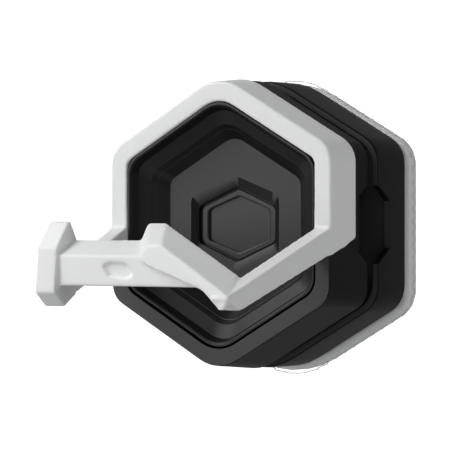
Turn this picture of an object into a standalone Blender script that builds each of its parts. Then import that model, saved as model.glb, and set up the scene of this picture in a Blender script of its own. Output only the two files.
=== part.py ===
"""Wall hook for headphones: a hexagonal suction mount with a closed, forward-projecting white hook frame.

Metres, +Z up. The front faces -Y. The origin is the centre of the suction pad's wall face.
"""

import math

import bmesh
import bpy
from mathutils import Vector

MM = 0.001

# Depths along Y, from the wall face at 0 towards the front.
PAD_FRONT = -6.7
BASE_REAR, BASE_FRONT = -7.0, -25.7
BODY_REAR, BODY_FRONT = -31.5, -54.95
RING_REAR = -39.55
PLATE_REAR, PLATE_FRONT = -32.3, -34.6
BOSS_FRONT = -38.8

# Hexagon sizes, centre to corner before rounding.
BEZEL_R, BODY_REAR_R = 52.0, 53.9
BEZEL_INNER_R, BODY_INNER_R = 45.7, 51.2
BASE_R, PAD_R, PAD_DROP = 55.65, 57.5, 1.0
RING_FRONT_R, RING_REAR_R, RING_INNER_R = 52.85, 54.25, 45.0
BOWL_R, BOWL_WALL = 44.6, 1.4
PLATE_R = 50.6
GAP = 0.3

# Bowl steps, as (radius, depth) of the visible surface.
BOWL_STEPS = ((BOWL_R, -54.5), (43.9, -54.6), (43.2, -54.3), (41.8, -51.4), (36.75, -49.4), (32.0, -44.3), (31.5, -44.1))

# The flat-sided hexagons round the button, as half-width, apex height and side-corner height.
DIP_HEX = (18.4, 17.4, 10.4)
HOLE_HEX = (16.1, 13.4, 6.6)
BUTTON_HEX = (15.5, 12.8, 6.1)
FACE_HEX = (12.9, 10.15, 5.4)
BUTTON_FRONT, BUTTON_FACE, BUTTON_REAR = -41.3, -40.1, -38.0
BUTTON_TRAVEL, BODY_TRAVEL = 2.0, 4.0

# Hook frame loop.
LEG_SLOPE, LEG_TOE_IN = 0.398, 0.108
LEG_REAR_X, LEG_WIDTH, SIDE_FLARE = 45.8, 7.0, 0.078
LEG_TOP_Z, LEG_ROOT_BOTTOM = -1.1, -10.85
LEG_FRONT_Y = -110.9
BAR_REAR_Y, BAR_FRONT_Y, CRADLE_FRONT_Y = -95.9, -106.1, -104.6
RAMP_SLANT = 0.117
POST_X = (-41.2, -32.8)

SCREW_ANGLES = (30, 150, 210, 330)
SCREW_CIRCLE, BOSS_R, WEB_REACH = 45.3, 3.4, 2.5

CIRCLE = 48


def material(name, colour, roughness, metallic=0.0):
    made = bpy.data.materials.new(name)
    made.use_nodes = True
    shader = made.node_tree.nodes["Principled BSDF"]
    shader.inputs["Base Color"].default_value = (*colour, 1.0)
    shader.inputs["Roughness"].default_value = roughness
    shader.inputs["Metallic"].default_value = metallic
    made.diffuse_color = (*colour, 1.0)
    return made


def rounded(corners, radii, steps=6):
    """An outline (x, z) through the corners, each turned into an arc of its own radius."""
    points = []
    count = len(corners)
    for index, (corner, radius) in enumerate(zip(corners, radii)):
        here = Vector(corner)
        before = (Vector(corners[index - 1]) - here).normalized()
        after = (Vector(corners[(index + 1) % count]) - here).normalized()
        half = before.angle(after) / 2
        middle = here + (before + after).normalized() * radius / math.sin(half)
        start = here + before * radius / math.tan(half) - middle
        sweep = math.pi - 2 * half
        turn = 1 if before.cross(after) < 0 else -1
        for step in range(steps + 1):
            angle = turn * sweep * step / steps
            offset = (
                start.x * math.cos(angle) - start.y * math.sin(angle),
                start.x * math.sin(angle) + start.y * math.cos(angle),
            )
            points.append((middle.x + offset[0], middle.y + offset[1]))
    return points


def hexagon(radius, ends=13.0, sides=8.0, steps=6):
    """A hexagon with a corner at the top, softer there and at the bottom than at its sides."""
    corners = [
        (radius * math.cos(math.radians(angle)), radius * math.sin(math.radians(angle)))
        for angle in range(30, 390, 60)
    ]
    return rounded(corners, (sides, ends, sides, sides, ends, sides), steps)


def flat_hexagon(size, soften=2.5, steps=6):
    """A hexagon with upright sides, of the given half-width, apex height and side-corner height."""
    half, apex, side = size
    corners = [(half, side), (0, apex), (-half, side), (-half, -side), (0, -apex), (half, -side)]
    return rounded(corners, [soften] * 6, steps)


def circle(radius, centre=(0.0, 0.0), count=CIRCLE):
    return [
        (
            centre[0] + radius * math.cos(math.tau * step / count),
            centre[1] + radius * math.sin(math.tau * step / count),
        )
        for step in range(count)
    ]


def at_depth(outline, depth, rise=0.0, shift=0.0):
    return [(x + shift, depth, z + rise) for x, z in outline]


def loft(name, rings, look=None, hollow=False, origin=(0.0, 0.0, 0.0), cutter=False):
    """A closed mesh through rings of equal length. hollow joins the last ring to the first."""
    shape = bmesh.new()
    rows = [[shape.verts.new([(p - o) * MM for p, o in zip(point, origin)]) for point in ring] for ring in rings]
    count = len(rows[0])
    pairs = list(zip(rows, rows[1:]))
    if hollow:
        pairs.append((rows[-1], rows[0]))
    else:
        shape.faces.new(rows[0])
        shape.faces.new(reversed(rows[-1]))
    for first, second in pairs:
        for step in range(count):
            after = (step + 1) % count
            shape.faces.new((first[step], first[after], second[after], second[step]))
    bmesh.ops.recalc_face_normals(shape, faces=shape.faces)
    if shape.calc_volume(signed=True) < 0:
        bmesh.ops.reverse_faces(shape, faces=shape.faces)
    mesh = bpy.data.meshes.new(name)
    shape.to_mesh(mesh)
    shape.free()
    made = bpy.data.objects.new(name, mesh)
    made.location = Vector(origin) * MM
    bpy.context.scene.collection.objects.link(made)
    if look:
        mesh.materials.append(look)
    if cutter:
        made.hide_render = True
        made.display_type = "WIRE"
    return made


def boolean(target, other, operation="DIFFERENCE"):
    added = target.modifiers.new(f"{operation.lower()}_{other.name}", "BOOLEAN")
    added.operation = operation
    added.object = other
    added.solver = "EXACT"
    return added


def cylinder(name, radius, start, end, look=None, centre=(0.0, 0.0), cutter=False, count=32):
    outline = circle(radius, centre, count)
    return loft(name, (at_depth(outline, start), at_depth(outline, end)), look, cutter=cutter)


def tube(name, profile, look, count=CIRCLE):
    """A turned part about the Y axis. The profile is a closed run of (radius, depth)."""
    return loft(name, [at_depth(circle(r, count=count), y) for r, y in profile], look, hollow=True)


def coil(name, radius, wire, start, end, turns, look, per_turn=18, sides=8):
    """A compression spring along Y."""
    rings = []
    total = turns * per_turn
    for step in range(total + 1):
        angle = math.tau * step / per_turn
        depth = start + (end - start) * step / total
        ring = []
        for side in range(sides):
            around = math.tau * side / sides
            reach = radius + wire * math.cos(around)
            ring.append((reach * math.cos(angle), depth + wire * math.sin(around), reach * math.sin(angle)))
        rings.append(ring)
    return loft(name, rings, look)


def make_pad(look):
    rings = [(2.2, PAD_FRONT), (0.5, -6.0), (0.0, -4.8), (0.0, -1.9), (0.7, -0.6), (2.1, 0.0)]
    loft("suction_pad", [at_depth(hexagon(PAD_R - inset, 34, 11), y, -PAD_DROP) for inset, y in rings], look)


def notch_cutters(prefix, wide_end, deep_end):
    """A pair of trapezoid cutters for the two flat sides, wide where they open into the gap."""
    made = []
    for side in (-1, 1):
        rings = []
        for x in (side * 40.0, side * 60.0):
            rings.append([(x, wide_end, -15.0), (x, deep_end, -8.4), (x, deep_end, 8.4), (x, wide_end, 15.0)])
        made.append(loft(f"{prefix}_{'left' if side < 0 else 'right'}", rings, cutter=True))
    return made


def make_base(look):
    wall, floor = 2.8, 3.0
    rings = [
        (BASE_R - 1.0, BASE_FRONT), (BASE_R - 0.3, BASE_FRONT + 0.5), (BASE_R, -20.0), (BASE_R, BASE_REAR),
        (BASE_R - wall, BASE_REAR), (BASE_R - wall, -14.0), (13.0, -14.0), (13.0, -14.0 - floor),
        (BASE_R - wall, -14.0 - floor), (BASE_R - wall - 0.4, BASE_FRONT),
    ]
    base = loft("base_shell", [at_depth(hexagon(r, min(26, r * 0.5), min(11, r * 0.2)), y) for r, y in rings],
                look, hollow=True)
    for cut in notch_cutters("cut_base", BASE_FRONT - 2, -18.2):
        boolean(base, cut)


def ring_rings(grow=0.0, rear=0.0):
    """The sections of the hook frame's hexagonal ring, grown on every side for its seat in the body."""
    outer_front, outer_rear = RING_FRONT_R + grow, RING_REAR_R + grow
    inner = RING_INNER_R - grow
    front = BODY_FRONT - grow
    return [
        at_depth(hexagon(outer_front - 0.4, 16.8, 9.5), front), at_depth(hexagon(outer_front, 16.8, 9.5), front + 0.4),
        at_depth(hexagon(outer_rear, 17.0, 10.0), RING_REAR + rear),
        at_depth(hexagon(inner + 0.25, 11.5, 3.5), RING_REAR + rear), at_depth(hexagon(inner, 11.5, 3.5), front),
    ]


def lower_cutter(name, grow=0.0):
    """Everything below the ring's ends, whose underside falls towards the rear."""
    front, rear = -1.75 - grow, -4.7 - grow
    rings = []
    for x in (-70.0, 70.0):
        rings.append([(x, -60.0, front), (x, BODY_FRONT, front), (x, RING_REAR, rear), (x, -20.0, rear),
                      (x, -20.0, -80.0), (x, -60.0, -80.0)])
    return loft(name, rings, cutter=True)


def make_front_body(look):
    rings = [
        (BEZEL_R - 0.25, BODY_FRONT), (BEZEL_R, BODY_FRONT + 0.3), (BODY_REAR_R, BODY_REAR),
        (BODY_INNER_R, BODY_REAR), (BODY_INNER_R, -36.0), (BODY_INNER_R - 1.0, -51.0), (BEZEL_INNER_R, -51.6),
        (BEZEL_INNER_R, BODY_FRONT),
    ]
    body = loft("front_body", [at_depth(hexagon(r, min(16.8, r * 0.3), 7.8), y) for r, y in rings], look, hollow=True)
    seat = loft("cut_ring_seat", ring_rings(GAP, 0.35), cutter=True, hollow=True)
    boolean(seat, lower_cutter("cut_seat_below", GAP))
    boolean(body, seat)
    for side, name in ((-1, "left"), (1, "right")):
        boolean(body, make_leg_root(f"cut_root_{name}", side, GAP))
    for cut in notch_cutters("cut_body", BODY_REAR + 2, -38.9):
        boolean(body, cut)
    for number, angle in enumerate(SCREW_ANGLES, 1):
        centre = place_on_circle(angle)
        reach = place_on_circle(angle, SCREW_CIRCLE + WEB_REACH)
        boss = cylinder(f"add_boss_{number}", BOSS_R, BOSS_FRONT, PLATE_FRONT - GAP, centre=centre, cutter=True)
        web = cylinder(f"add_web_{number}", BOSS_R, BOSS_FRONT + 0.2, PLATE_FRONT - GAP - 0.2, centre=reach,
                       cutter=True)
        inside = cylinder(f"keep_{number}", 1.35, BOSS_FRONT - 1, PLATE_FRONT + 1, centre=centre, cutter=True)
        boolean(body, web, "UNION")
        boolean(body, boss, "UNION")
        boolean(body, inside)


def place_on_circle(angle, radius=SCREW_CIRCLE):
    return (radius * math.cos(math.radians(angle)), radius * math.sin(math.radians(angle)))


def make_bowl(look):
    front = [at_depth(hexagon(r, r * 0.26, r * 0.16), y) for r, y in BOWL_STEPS]
    dip = at_depth(flat_hexagon(DIP_HEX, 4.0), -44.1)
    hole = [at_depth(flat_hexagon(HOLE_HEX, 2.6), y) for y in (-42.4, -41.2)]
    rear = [(31.5 - BOWL_WALL, -42.6), (34.9, -47.6), (41.0, -49.9), (BOWL_R - BOWL_WALL, -51.4),
            (BOWL_R - BOWL_WALL, -40.0), (BOWL_R, -40.0)]
    back = [at_depth(hexagon(r, r * 0.26, r * 0.16), y) for r, y in rear]
    loft("bowl_cover", [*front, dip, *hole, *back], look, hollow=True)


def make_button(look):
    flange = (16.9, 14.2, 7.2)
    rings = [
        (FACE_HEX, BUTTON_FACE), (FACE_HEX, BUTTON_FRONT + 0.2), ((13.3, 10.6, 5.5), BUTTON_FRONT),
        ((15.2, 12.5, 6.0), BUTTON_FRONT), (BUTTON_HEX, BUTTON_FRONT + 0.3), (BUTTON_HEX, -40.8), (flange, -40.8),
        (flange, BUTTON_REAR),
    ]
    button = loft("release_button", [at_depth(flat_hexagon(size, 2.2), y) for size, y in rings], look)
    boolean(button, cylinder("cut_button_pocket", 5.2, -39.3, BUTTON_REAR + 1, cutter=True))


def make_hook_frame(look):
    frame = loft("hook_frame", ring_rings(), look, hollow=True)
    boolean(frame, lower_cutter("cut_ring_below"))
    for side, name in ((-1, "left"), (1, "right")):
        boolean(frame, make_leg_root(f"add_root_{name}", side), "UNION")
    short = [(-100.5, leg_top(-100.5)), (-100.5, -26.9), (-99.8, -27.0)]
    boolean(frame, make_leg("add_leg_left", -1, short), "UNION")
    long = [
        (LEG_FRONT_Y + 0.6, leg_top(LEG_FRONT_Y)), (LEG_FRONT_Y, leg_top(LEG_FRONT_Y) - 0.6),
        (LEG_FRONT_Y + 0.3, leg_top(LEG_FRONT_Y) - 1.6), (-105.9, -27.3), (-104.8, -28.2), (-103.2, -28.1),
    ]
    boolean(frame, make_leg("add_leg_right", 1, long), "UNION")
    boolean(frame, make_ramp(), "UNION")
    boolean(frame, make_cradle(), "UNION")
    boolean(frame, make_post(), "UNION")
    recess = rounded([(-14.6, -14.0), (-11.3, -12.6), (-4.7, -13.3), (-2.0, -16.9), (-5.3, -18.3), (-11.9, -17.4)],
                     [0.5] * 6, 3)
    boolean(frame, loft("cut_bar_recess", (at_depth(recess, CRADLE_FRONT_Y - 3), at_depth(recess, CRADLE_FRONT_Y + 1.1)), cutter=True))


def prism(name, profile, inner_x, outer_x):
    """A (y, z) profile between two X faces, each given as a function of y."""
    faces = [[(face(y), y, z) for y, z in profile] for face in (inner_x, outer_x)]
    return loft(name, faces, cutter=True)


def make_leg_root(name, side, grow=0.0):
    """Where a leg leaves the ring, inside the front body's lower corner. It can be grown for its seat."""
    front = BODY_FRONT - grow
    profile = [
        (RING_REAR + grow, -4.7 - grow), (RING_REAR + grow, -2.0), (-44.0, 3.0), (-50.0, 5.0), (front, 5.0),
        (front, LEG_ROOT_BOTTOM - grow), (-45.9, -7.7 - grow),
    ]
    inner = side * (LEG_REAR_X - LEG_WIDTH - grow)
    return prism(name, profile, lambda y: inner,
                 lambda y: side * (LEG_REAR_X + SIDE_FLARE * (y - BODY_FRONT) + grow * 8))


def make_leg(name, side, nose):
    """A side leg: it runs forward and down with a slight toe-in, and its nose is a run of (y, z) points."""
    start = BODY_FRONT + 1.4
    profile = [(start, LEG_TOP_Z + 0.5), *nose, (start, LEG_ROOT_BOTTOM + 0.9)]

    def face(reach):
        return lambda y: side * (reach - (BODY_FRONT - y) * LEG_TOE_IN)

    return prism(name, profile, face(LEG_REAR_X - LEG_WIDTH + 0.25), face(LEG_REAR_X - 0.15))


def leg_top(y):
    return LEG_TOP_Z - LEG_SLOPE * (BODY_FRONT - y)


def make_bar_piece(name, front, rear, radii, front_y, slant=0.0):
    """A bar with a front and a rear outline. slant brings the front face forward as x grows."""
    face = [(x, front_y - slant * x, z) for x, z in rounded(front, radii, 4)]
    return loft(name, (face, at_depth(rounded(rear, radii, 4), BAR_REAR_Y)), cutter=True)


def make_ramp():
    """The bar's right half: an upstand, then a long ramp down to the right leg."""
    top = [(4.9, -7.0), (11.2, -7.0), (39.4, -23.4)]
    front = [*top, (38.8, -28.0), (35.8, -28.2), (28.8, -21.9), (8.0, -15.0), (1.4, -12.5)]
    rear_top = [(-1.7, 0.85), (5.6, 0.85), (34.3, -16.5)]
    rear = [*rear_top, (33.7, -22.6), (31.2, -22.8), (24.2, -16.8), (2.0, -8.0), (-5.1, -6.0)]
    return make_bar_piece("add_ramp", front, rear, (1.5, 1.5, 0.4, 1.0, 0.7, 0.8, 1.5, 1.5), BAR_FRONT_Y,
                          slant=RAMP_SLANT)


def make_cradle():
    """The bar's flat left half, set back from the ramp and the post, which carries the headband."""
    front = [(-36.5, -10.5), (10.0, -10.5), (27.0, -19.0), (27.0, -21.2), (-36.5, -21.2)]
    rear = [(-36.5, -4.9), (2.0, -4.9), (20.0, -12.0), (20.0, -16.2), (-36.5, -16.2)]
    return make_bar_piece("add_cradle", front, rear, (0.4, 0.6, 0.6, 0.4, 0.4), CRADLE_FRONT_Y)


def make_post():
    """The upturned left end of the bar."""
    profile = [(-97.3, 1.2), (-98.5, 1.0), (-105.4, -8.0), (-107.0, -23.3), (-101.0, -28.3), (-94.0, -24.0),
               (-93.0, -6.0)]
    rings = []
    for x in POST_X:
        rings.append([(x, y, z) for y, z in profile])
    return loft("add_post", rings, cutter=True)


def make_back_plate(look):
    plate = loft(
        "back_plate",
        [at_depth(hexagon(PLATE_R, 15, 7.5), PLATE_FRONT), at_depth(hexagon(PLATE_R, 15, 7.5), PLATE_REAR)], look,
    )
    boolean(plate, cylinder("cut_plate_hub", 22.7, PLATE_FRONT - 1, PLATE_REAR + 1, cutter=True))
    for number, angle in enumerate(SCREW_ANGLES, 1):
        centre = place_on_circle(angle)
        boolean(plate, cylinder(f"cut_plate_{number}", 1.9, PLATE_FRONT - 1, PLATE_REAR + 1, centre=centre, cutter=True))


def make_screws(look):
    for number, angle in enumerate(SCREW_ANGLES, 1):
        centre = place_on_circle(angle)
        rings = [(1.0, -38.0), (1.0, PLATE_REAR + GAP), (2.9, PLATE_REAR + GAP), (2.9, -30.9), (2.3, -30.6)]
        loft(f"plate_screw_{number}", [at_depth(circle(r, centre, 24), y) for r, y in rings], look)


def make_core(steel, dark, grey):
    """What stands on the pad's side of the gap, along the axis."""
    tube("guide_sleeve", [(20.5, -36.8), (22.5, -36.8), (22.5, -18.2), (27.0, -18.2), (27.0, -17.3), (20.5, -17.3)],
         grey)
    tube("sleeve_collar", [(22.8, -36.6), (26.0, -36.6), (26.0, -34.95), (22.8, -34.95)], steel)
    coil("return_spring", 25.0, 0.8, -26.4, -19.3, 3, steel, per_turn=28)
    tube("spring_washer", [(22.8, -28.0), (27.4, -28.0), (27.4, -27.5), (22.8, -27.5)], steel)
    loft("pull_stud", [at_depth(circle(r), y) for r, y in
                       ((3.0, -29.8), (3.0, -12.5), (11.5, -12.5), (11.5, -7.2))], steel)
    tube("stud_bridge", [(3.3, -20.6), (19.9, -20.6), (19.9, -17.3), (3.3, -17.3)], steel)
    loft("stud_nut", [at_depth(circle(r, count=6), y) for r, y in
                      ((3.9, -24.0), (6.2, -24.0), (6.2, -20.9), (3.9, -20.9))], steel, hollow=True)
    tube("pad_washer", [(12.1, -13.6), (30.0, -13.6), (30.0, -12.4), (12.1, -12.4)], grey)
    tube("clamp_ring", [(34.0, -13.6), (42.0, -13.6), (42.0, -7.4), (34.0, -7.4)], dark)


def make_button_core(steel, grey):
    coil("button_spring", 4.0, 0.2, -36.9, -35.65, 2, steel)
    loft("button_retainer", [at_depth(circle(r), y) for r, y in
                             ((19.8, -40.7), (19.8, -34.5), (1.5, -34.5), (1.5, -35.3), (18.8, -35.3), (18.8, -40.7))],
         grey, hollow=True)


def main():
    for old in list(bpy.data.objects):
        bpy.data.objects.remove(old, do_unlink=True)
    white = material("white_abs", (0.80, 0.81, 0.82), 0.38)
    black = material("black_abs", (0.018, 0.018, 0.02), 0.42)
    cover = material("bowl_black", (0.035, 0.036, 0.038), 0.45)
    grey = material("moulded_grey", (0.30, 0.30, 0.31), 0.5)
    steel = material("steel", (0.62, 0.62, 0.60), 0.3, 1.0)
    gel = material("pad_gel", (0.83, 0.84, 0.84), 0.32)
    make_pad(gel)
    make_base(black)
    make_front_body(black)
    make_bowl(cover)
    make_button(cover)
    make_hook_frame(white)
    make_back_plate(black)
    make_screws(steel)
    make_core(steel, black, grey)
    make_button_core(steel, grey)


main()
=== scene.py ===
"""Looks for the hexagonal suction wall hook: camera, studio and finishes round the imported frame. Metres, +Z up."""

import math

import bpy
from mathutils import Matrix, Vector


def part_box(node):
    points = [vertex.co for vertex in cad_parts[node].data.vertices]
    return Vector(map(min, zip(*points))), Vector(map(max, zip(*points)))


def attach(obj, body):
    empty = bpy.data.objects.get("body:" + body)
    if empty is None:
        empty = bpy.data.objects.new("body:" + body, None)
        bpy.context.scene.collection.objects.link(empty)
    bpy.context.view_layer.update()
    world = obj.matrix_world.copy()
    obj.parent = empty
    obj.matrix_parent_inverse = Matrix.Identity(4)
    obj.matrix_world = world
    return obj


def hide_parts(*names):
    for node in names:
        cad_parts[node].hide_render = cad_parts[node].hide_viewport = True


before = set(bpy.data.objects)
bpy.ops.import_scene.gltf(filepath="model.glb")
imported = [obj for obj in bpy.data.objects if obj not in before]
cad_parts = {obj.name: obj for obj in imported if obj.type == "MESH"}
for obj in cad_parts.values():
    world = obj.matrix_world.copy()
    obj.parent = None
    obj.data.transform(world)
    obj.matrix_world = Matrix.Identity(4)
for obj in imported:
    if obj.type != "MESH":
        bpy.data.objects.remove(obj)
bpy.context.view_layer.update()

MM = 0.001
IMAGE = 452
SENSOR = 36.0

# Camera: weak perspective, level with the bowl's axis.
AZIMUTH = math.radians(32.7)
LENS = 213.0
DISTANCE = 0.9363
SHIFT = (8.0 / IMAGE, -1.5 / IMAGE)

# Finishes.
EDGE_ROUND = 0.45 * MM
HOOK_VOXEL = 0.45 * MM
HOOK_SMOOTHING = 14
WHITE = (0.88, 0.885, 0.89)
BLACK = (0.0035, 0.0035, 0.0038)
# The next colour is painted sheen: the black mouldings' faces square to the front get it in place of lamp light
# reflected off them.
FRONT_SHEEN_GREY = (0.062, 0.062, 0.064)
# The next colour is painted sheen on the bowl: its faces square to the front get it, lighter than the near-black of
# its sloping facets, in place of lamp light reflected off them.
PLATEAU_SHEEN_GREY = (0.040, 0.040, 0.041)
FACET_GREY = (0.007, 0.007, 0.0075)
PAD_WHITE = (0.80, 0.81, 0.81)
MOULDED_GREY = (0.10, 0.10, 0.105)
STEEL = (0.34, 0.34, 0.35)

# The pad's embossed cells.
CELL_PITCH = 5.0 * MM
CELL_LINE = 0.13 * MM
CELL_STEPS = 10
CELL_SIDE_CORNER, CELL_END_CORNER = 11.0 * MM, 26.0 * MM


def sub(material_name, colour, roughness, metallic=0.0, specular=0.5):
    made = bpy.data.materials.new(material_name)
    made.use_nodes = True
    shader = made.node_tree.nodes["Principled BSDF"]
    shader.inputs["Base Color"].default_value = (*colour, 1.0)
    shader.inputs["Roughness"].default_value = roughness
    shader.inputs["Metallic"].default_value = metallic
    shader.inputs["Specular IOR Level"].default_value = specular
    return made, made.node_tree, shader


def grain(tree, shader, scale, strength, distance=0.05 * MM):
    """The fine texture of a moulded surface."""
    place = tree.nodes.new("ShaderNodeTexCoord")
    noise = tree.nodes.new("ShaderNodeTexNoise")
    noise.inputs["Scale"].default_value = scale
    noise.inputs["Detail"].default_value = 3.0
    bump = tree.nodes.new("ShaderNodeBump")
    bump.inputs["Strength"].default_value = strength
    bump.inputs["Distance"].default_value = distance
    tree.links.new(place.outputs["Object"], noise.inputs["Vector"])
    tree.links.new(noise.outputs["Fac"], bump.inputs["Height"])
    tree.links.new(bump.outputs["Normal"], shader.inputs["Normal"])


def paint_front_sheen(tree, shader, side_colour, sheen_colour):
    """Painted sheen: faces square to the front are coloured lighter than the sides, standing in for lamp light
    reflected off them.
    """
    geometry = tree.nodes.new("ShaderNodeNewGeometry")
    split = tree.nodes.new("ShaderNodeSeparateXYZ")
    ramp = tree.nodes.new("ShaderNodeMapRange")
    ramp.inputs["From Min"].default_value = -0.90
    ramp.inputs["From Max"].default_value = -0.985
    mix = tree.nodes.new("ShaderNodeMix")
    mix.data_type = "RGBA"
    mix.inputs["A"].default_value = (*side_colour, 1.0)
    mix.inputs["B"].default_value = (*sheen_colour, 1.0)
    tree.links.new(geometry.outputs["Normal"], split.inputs["Vector"])
    tree.links.new(split.outputs["Y"], ramp.inputs["Value"])
    tree.links.new(ramp.outputs["Result"], mix.inputs["Factor"])
    tree.links.new(mix.outputs["Result"], shader.inputs["Base Color"])


def white_plastic():
    made, tree, shader = sub("white_plastic", WHITE, 0.42)
    grain(tree, shader, 1800.0, 0.12)
    return made


def black_plastic():
    made, tree, shader = sub("black_plastic", BLACK, 0.42, specular=0.2)
    # Painted sheen: faces square to the front are coloured grey, lighter than the black sides.
    paint_front_sheen(tree, shader, BLACK, FRONT_SHEEN_GREY)
    grain(tree, shader, 2200.0, 0.2)
    return made


def bowl_plastic():
    made, tree, shader = sub("bowl_plastic", FACET_GREY, 0.42, specular=0.3)
    # Painted sheen: the bowl's front-facing plateau is coloured lighter than its sloping facets.
    paint_front_sheen(tree, shader, FACET_GREY, PLATEAU_SHEEN_GREY)
    grain(tree, shader, 2200.0, 0.25)
    return made


def button_plastic():
    made, tree, shader = sub("button_plastic", (0.024, 0.024, 0.025), 0.42, specular=0.45)
    grain(tree, shader, 2200.0, 0.15)
    return made


def pad_gel():
    made, tree, shader = sub("pad_gel", PAD_WHITE, 0.4)
    shader.inputs["Subsurface Weight"].default_value = 0.35
    shader.inputs["Subsurface Radius"].default_value = (0.004, 0.004, 0.004)
    shader.inputs["Subsurface Scale"].default_value = 0.6
    return made


def dress(node, material, edge=EDGE_ROUND, soften=True):
    """A finish for a CAD node, and softly rounded edges on the larger mouldings."""
    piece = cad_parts[node]
    piece.data.materials.clear()
    piece.data.materials.append(material)
    if not soften:
        return piece
    weld = piece.modifiers.new("weld", "WELD")
    weld.merge_threshold = 0.00001
    flat = piece.modifiers.new("flat", "DECIMATE")
    flat.decimate_type = "DISSOLVE"
    flat.angle_limit = math.radians(0.6)
    bevel = piece.modifiers.new("edges", "BEVEL")
    bevel.width = edge
    bevel.segments = 3
    bevel.limit_method = "ANGLE"
    bevel.angle_limit = math.radians(24)
    bevel.use_clamp_overlap = True
    weighted = piece.modifiers.new("weighted", "WEIGHTED_NORMAL")
    weighted.weight = 90
    for face in piece.data.polygons:
        face.use_smooth = True
    return piece


def hook_skin(material):
    """The white frame with soft moulded edges: the CAD solid remeshed finely, smoothed and thinned."""
    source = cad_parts["hook_frame"]
    skin = source.copy()
    skin.data = source.data.copy()
    skin.name = "hook_frame_skin"
    skin.parent = None
    skin.matrix_world = source.matrix_world.copy()
    skin.modifiers.clear()
    bpy.context.scene.collection.objects.link(skin)
    skin.data.materials.clear()
    skin.data.materials.append(material)
    weld = skin.modifiers.new("weld", "WELD")
    weld.merge_threshold = 0.00001
    remesh = skin.modifiers.new("remesh", "REMESH")
    remesh.mode = "VOXEL"
    remesh.voxel_size = HOOK_VOXEL
    remesh.use_smooth_shade = True
    soften = skin.modifiers.new("soften", "SMOOTH")
    soften.factor = 0.5
    soften.iterations = HOOK_SMOOTHING
    thin = skin.modifiers.new("thin", "DECIMATE")
    thin.ratio = 0.3
    apply_modifiers(skin)
    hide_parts("hook_frame")
    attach(skin, "front_side")
    return skin


def apply_modifiers(piece):
    graph = bpy.context.evaluated_depsgraph_get()
    made = bpy.data.meshes.new_from_object(piece.evaluated_get(graph))
    piece.modifiers.clear()
    piece.data = made
    for face in made.polygons:
        face.use_smooth = True


def camera():
    lens = bpy.data.cameras.new("camera")
    lens.lens = LENS
    lens.sensor_width = SENSOR
    lens.shift_x, lens.shift_y = SHIFT
    made = bpy.data.objects.new("camera", lens)
    low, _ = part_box("front_body")
    target = Vector((0.0, low[1], 0.0))
    away = Vector((math.sin(AZIMUTH), -math.cos(AZIMUTH), 0.0))
    made.location = target + away * DISTANCE
    made.rotation_euler = (math.pi / 2, 0.0, AZIMUTH)
    bpy.context.scene.collection.objects.link(made)
    bpy.context.scene.camera = made


def area_light(name, azimuth, elevation, distance, size, energy):
    data = bpy.data.lights.new(name, "AREA")
    data.energy = energy
    data.size = size
    made = bpy.data.objects.new(name, data)
    turn, rise = math.radians(azimuth), math.radians(elevation)
    place = Vector((math.sin(turn) * math.cos(rise), -math.cos(turn) * math.cos(rise), math.sin(rise))) * distance
    made.location = place
    made.rotation_euler = (-place).to_track_quat("-Z", "Y").to_euler()
    bpy.context.scene.collection.objects.link(made)


def glowing(name, strength):
    made = bpy.data.materials.new(name)
    made.use_nodes = True
    shader = made.node_tree.nodes["Principled BSDF"]
    shader.inputs["Base Color"].default_value = (0.9, 0.9, 0.9, 1.0)
    shader.inputs["Roughness"].default_value = 1.0
    shader.inputs["Emission Color"].default_value = (1.0, 1.0, 1.0, 1.0)
    shader.inputs["Emission Strength"].default_value = strength
    return made


def stage_plane(name, corners, material):
    mesh = bpy.data.meshes.new(name)
    mesh.from_pydata(corners, [], [(0, 1, 2, 3)])
    mesh.materials.append(material)
    made = bpy.data.objects.new(name, mesh)
    bpy.context.scene.collection.objects.link(made)
    made.visible_glossy = False
    made.visible_diffuse = False
    made.visible_shadow = False
    return made


def studio():
    floor_z, reach = -0.30, 6.0
    stage_plane("floor", [(-reach, -reach, floor_z), (reach, -reach, floor_z), (reach, reach, floor_z),
                          (-reach, reach, floor_z)], glowing("floor_white", 1.0))
    corners = ((-reach, reach), (reach, reach), (reach, -reach), (-reach, -reach), (-reach, reach))
    backdrop_white = glowing("backdrop_white", 1.0)
    for number, ((x0, y0), (x1, y1)) in enumerate(zip(corners, corners[1:]), 1):
        stage_plane(f"backdrop_{number}", [(x0, y0, floor_z), (x1, y1, floor_z), (x1, y1, reach),
                                           (x0, y0, reach)], backdrop_white)
    world = bpy.data.worlds.new("studio")
    world.use_nodes = True
    world.node_tree.nodes["Background"].inputs["Color"].default_value = (1.0, 1.0, 1.0, 1.0)
    world.node_tree.nodes["Background"].inputs["Strength"].default_value = 0.24
    bpy.context.scene.world = world
    area_light("key", -48, 38, 1.1, 0.6, 7.0)
    area_light("front_left", -33, 2, 1.3, 0.7, 3.8)
    area_light("side", 85, 12, 1.2, 0.6, 2.4)
    area_light("below", 20, -50, 1.2, 0.6, 1.4)
    bpy.context.scene.view_settings.view_transform = "Standard"


def hex_reach(radius, corner, turn):
    """How far a hexagon with rounded corners reaches from its centre, at an angle round it."""
    flat = radius * math.cos(math.pi / 6)
    across = (turn + math.pi / 6) % (math.pi / 3) - math.pi / 6
    side = flat / math.cos(across)
    middle = radius - corner / math.cos(math.pi / 6)
    off = abs(abs(across) - math.pi / 6)
    if off < math.atan2(corner / 2, middle + corner * math.cos(math.pi / 6)):
        return middle * math.cos(off) + math.sqrt(corner ** 2 - (middle * math.sin(off)) ** 2)
    return side


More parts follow.
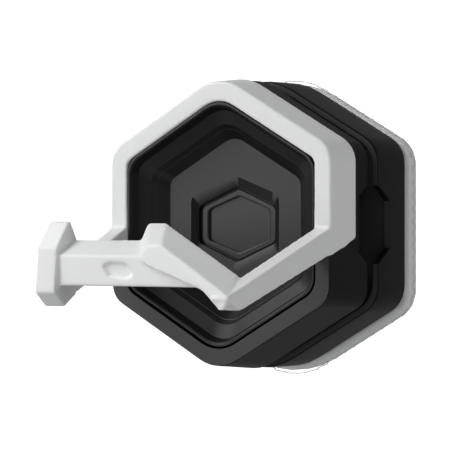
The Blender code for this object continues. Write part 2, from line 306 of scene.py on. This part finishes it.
def pad_cells(material):
    """Fine raised arcs round the pad's rim, in a honeycomb's rhythm."""
    low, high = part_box("suction_pad")
    radius = high[0] / math.cos(math.pi / 6)
    middle_z = (low[2] + high[2]) / 2
    band = (low[1] + 1.9 * MM, high[1] - 1.9 * MM)
    curve = bpy.data.curves.new("pad_cells", "CURVE")
    curve.dimensions = "3D"
    curve.bevel_depth = CELL_LINE
    curve.bevel_resolution = 2
    curve.use_fill_caps = True
    curve.materials.append(material)
    count = int(math.tau * radius / CELL_PITCH)
    for row in range(2):
        for cell in range(count):
            start = math.tau * (cell + row / 2) / count
            line = curve.splines.new("POLY")
            line.points.add(CELL_STEPS)
            for step in range(CELL_STEPS + 1):
                share = step / CELL_STEPS
                turn = start + share * math.tau / count
                corner = CELL_SIDE_CORNER if abs(math.sin(turn)) < math.sin(math.pi / 3) else CELL_END_CORNER
                reach = hex_reach(radius, corner, turn)
                rise = math.sin(math.pi * share) * (band[1] - band[0]) * 0.85
                depth = band[1] - rise if row == 0 else band[0] + rise
                line.points[step].co = (reach * math.cos(turn), depth, middle_z + reach * math.sin(turn), 1.0)
    made = bpy.data.objects.new("pad_cells", curve)
    bpy.context.scene.collection.objects.link(made)
    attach(made, "wall_side")
    return made


def finishes():
    white, black, bowl = white_plastic(), black_plastic(), bowl_plastic()
    gel = pad_gel()
    grey = sub("moulded_grey", MOULDED_GREY, 0.5)[0]
    steel = sub("dull_steel", STEEL, 0.35, 1.0)[0]
    hook_skin(white)
    dress("front_body", black, 0.3 * MM)
    dress("base_shell", black, 0.3 * MM)
    dress("bowl_cover", bowl, 0.25 * MM)
    dress("release_button", button_plastic(), 0.35 * MM)
    dress("suction_pad", gel, 0.3 * MM)
    for node in ("back_plate", "clamp_ring"):
        dress(node, black, soften=False)
    for node in ("guide_sleeve", "pad_washer", "button_retainer"):
        dress(node, grey, soften=False)
    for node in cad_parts:
        if node.startswith("plate_screw") or node in (
            "sleeve_collar", "return_spring", "spring_washer", "pull_stud", "stud_bridge", "stud_nut", "button_spring",
        ):
            dress(node, steel, soften=False)
    pad_cells(gel)


camera()
studio()
finishes()
